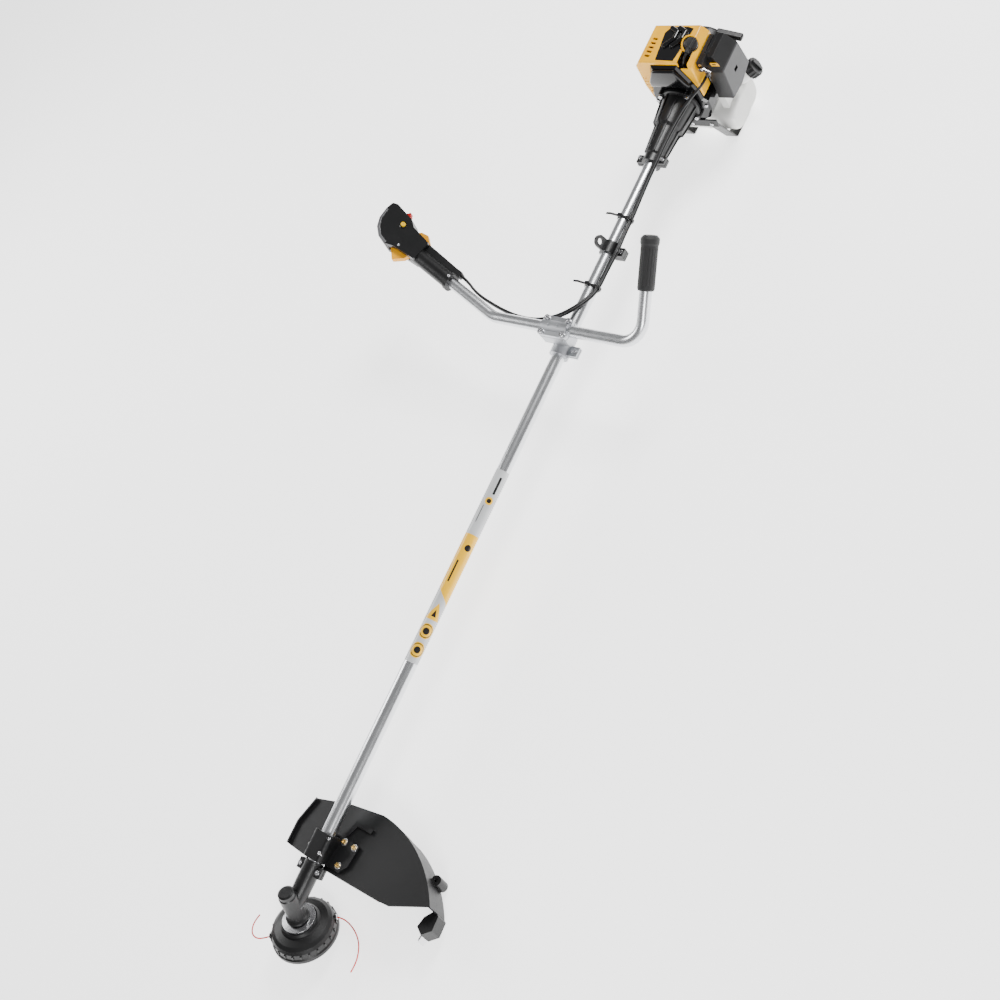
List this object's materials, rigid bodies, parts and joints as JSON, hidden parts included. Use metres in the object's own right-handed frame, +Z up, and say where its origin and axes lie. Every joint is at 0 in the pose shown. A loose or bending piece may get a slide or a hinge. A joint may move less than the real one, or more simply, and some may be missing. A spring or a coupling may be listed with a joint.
{
  "type": "petrol string trimmer",
  "caption": "Long-shaft petrol string trimmer with a rear engine, looped handlebar, throttle grip, guard and bump-feed line head.",
  "frame": {"origin": "on the ground under the middle of the machine's bounding box, cutting lines left out", "axes": "+X runs along the tube from the engine to the line head, +Y to the operator's left, +Z up"},
  "size_m": [1.893, 0.7044, 0.2921],
  "materials": {
    "satin_tube": "satin clear-coated tube",
    "steel": "machined or zinc-plated steel",
    "cast_metal": "die cast, fine sand texture",
    "black_cast": "black powder coat on castings",
    "black_plastic": "black moulded plastic, fine grain",
    "gloss_black": "glossy black moulded shroud",
    "grey_plastic": "dark grey moulded plastic",
    "yellow_plastic": "yellow moulded cover",
    "red_plastic": "red switch",
    "button_plastic": "yellow button",
    "rubber": "soft black rubber",
    "brass": "plated screws",
    "chrome": "bright plated lever",
    "tank_plastic": "translucent white tank",
    "foam": "oiled filter foam",
    "red_line": "red nylon cutting line"
  },
  "bodies": {
    "machine": {"tube": "satin_tube", "bearings": "steel", "gear_case": "black_cast", "guard": "black_plastic", "guard_skirt": "black_plastic", "line_cutter": "steel", "guard_bracket": "black_cast", "guard_screws": "brass", "handlebar": "satin_tube", "bar_clamp_base": "cast_metal", "bar_clamp_cap": "cast_metal", "left_grip": "rubber", "throttle_grip": "black_plastic", "harness_clamp": "black_cast", "cable_ties": "black_plastic", "steel_screws": "steel", "clutch_housing": "black_cast", "fan_cover": "gloss_black", "crankcase": "cast_metal", "cylinder": "cast_metal", "piston_and_rod": "cast_metal", "muffler": "steel", "engine_cover": "yellow_plastic", "cover_insert": "gloss_black", "spark_plug": "steel", "plug_boot": "rubber", "ignition_coil": "steel", "ignition_lead": "rubber", "carburettor": "cast_metal", "filter_base": "grey_plastic", "filter_element": "foam", "fuel_tank": "tank_plastic", "stand": "black_cast", "starter_housing": "black_plastic", "starter_rope": "black_plastic", "throttle_cable": "black_plastic", "switch_lead": "black_plastic"},
    "head": {"arbor": "steel", "spool_housing": "black_plastic", "line_left": "red_line", "line_right": "red_line"},
    "spool": {"line_spool": "black_plastic", "bump_knob": "black_plastic"},
    "drive": {"clutch_drum": "steel", "drive_shaft": "steel", "pinion": "steel"},
    "crank": {"crankshaft": "steel", "flywheel": "cast_metal", "clutch_shoes": "steel"},
    "trigger": {"trigger": "button_plastic"},
    "throttle_arm": {"throttle_arm": "steel"},
    "lockout": {"lockout_lever": "button_plastic"},
    "stop_switch": {"stop_switch": "red_plastic"},
    "lock_button": {"lock_button": "button_plastic"},
    "choke": {"choke_lever": "chrome"},
    "filter_cover": {"filter_cover": "grey_plastic"},
    "cap_seal": {"cap_seal": "rubber"},
    "fuel_cap": {"fuel_cap": "black_plastic"},
    "starter_grip": {"starter_grip": "rubber"},
    "starter_pulley": {"starter_pulley": "black_plastic"}
  },
  "joints": [
    {"name": "head_spin", "type": "hinge", "parent": "machine", "child": "head", "pos_m": [0.8589, 0.11219, 0.09405], "axis": [-0.4765, 0, 0.8792], "continuous": true},
    {"name": "bump_feed", "type": "slide", "parent": "head", "child": "spool", "axis": [-0.4765, 0, 0.8792], "range_m": [0, 0.004], "stiffness_N_per_m": 4000, "springref_m": -0.002},
    {"name": "drive_spin", "type": "hinge", "parent": "machine", "child": "drive", "pos_m": [-0.64565, 0.11219, 0.13457], "axis": [0.9996, 0, -0.0269], "continuous": true},
    {"name": "crank_spin", "type": "hinge", "parent": "machine", "child": "crank", "pos_m": [-0.85957, 0.11219, 0.14033], "axis": [0.9996, 0, -0.0269], "continuous": true},
    {"name": "trigger_pull", "type": "hinge", "parent": "machine", "child": "trigger", "pos_m": [-0.33674, -0.29498, 0.23924], "axis": [0.0259, 0.2714, 0.9621], "range_deg": [0, 16], "stiffness_Nm_per_rad": 0.6, "springref_deg": -17.19},
    {"name": "throttle_open", "type": "hinge", "parent": "machine", "child": "throttle_arm", "pos_m": [-0.86385, 0.16218, 0.20446], "axis": [-0.0269, 0, -0.9996], "range_deg": [0, 40.5]},
    {"name": "lockout_press", "type": "hinge", "parent": "machine", "child": "lockout", "pos_m": [-0.35416, -0.26972, 0.23258], "axis": [-0.0259, -0.2714, -0.9621], "range_deg": [0, 10], "stiffness_Nm_per_rad": 0.3, "springref_deg": -17.19},
    {"name": "stop_slide", "type": "slide", "parent": "machine", "child": "stop_switch", "axis": [0.3264, 0.9074, -0.2647], "range_m": [0, 0.005]},
    {"name": "button_press", "type": "slide", "parent": "machine", "child": "lock_button", "axis": [-0.0259, -0.2714, -0.9621], "range_m": [0, 0.003], "stiffness_N_per_m": 400, "springref_m": -0.002},
    {"name": "choke_turn", "type": "hinge", "parent": "machine", "child": "choke", "pos_m": [-0.80755, 0.17819, 0.21495], "axis": [0.9996, 0, -0.0269], "range_deg": [0, 75]},
    {"name": "cover_off", "type": "slide", "parent": "machine", "child": "filter_cover", "axis": [0, 1, 0], "range_m": [0, 0.04]},
    {"name": "cap_lift", "type": "slide", "parent": "machine", "child": "cap_seal", "axis": [-0.3389, 0.8315, 0.4401], "range_m": [0, 0.006]},
    {"name": "cap_turn", "type": "hinge", "parent": "cap_seal", "child": "fuel_cap", "pos_m": [-0.92076, 0.20382, 0.09757], "axis": [-0.3389, 0.8315, 0.4401], "range_deg": [0, 730]},
    {"name": "starter_spin", "type": "hinge", "parent": "machine", "child": "starter_pulley", "pos_m": [-0.92255, 0.11219, 0.14202], "axis": [0.9996, 0, -0.0269], "range_deg": [0, 1270], "stiffness_Nm_per_rad": 0.004, "springref_deg": -171.89},
    {"name": "starter_pull", "type": "slide", "parent": "machine", "child": "starter_grip", "axis": [0, 0, 1], "range_m": [0, 0.69], "deforming": ["starter_rope"]}
  ],
  "couplings": [
    {"joint": "drive_spin", "follows": "head_spin", "ratio": 1.3571},
    {"joint": "throttle_open", "follows": "trigger_pull", "ratio": 2.5},
    {"joint": "cap_turn", "follows": "cap_lift", "rad_per_m": 2094.4},
    {"joint": "starter_spin", "follows": "starter_pull", "rad_per_m": 31.746}
  ]
}
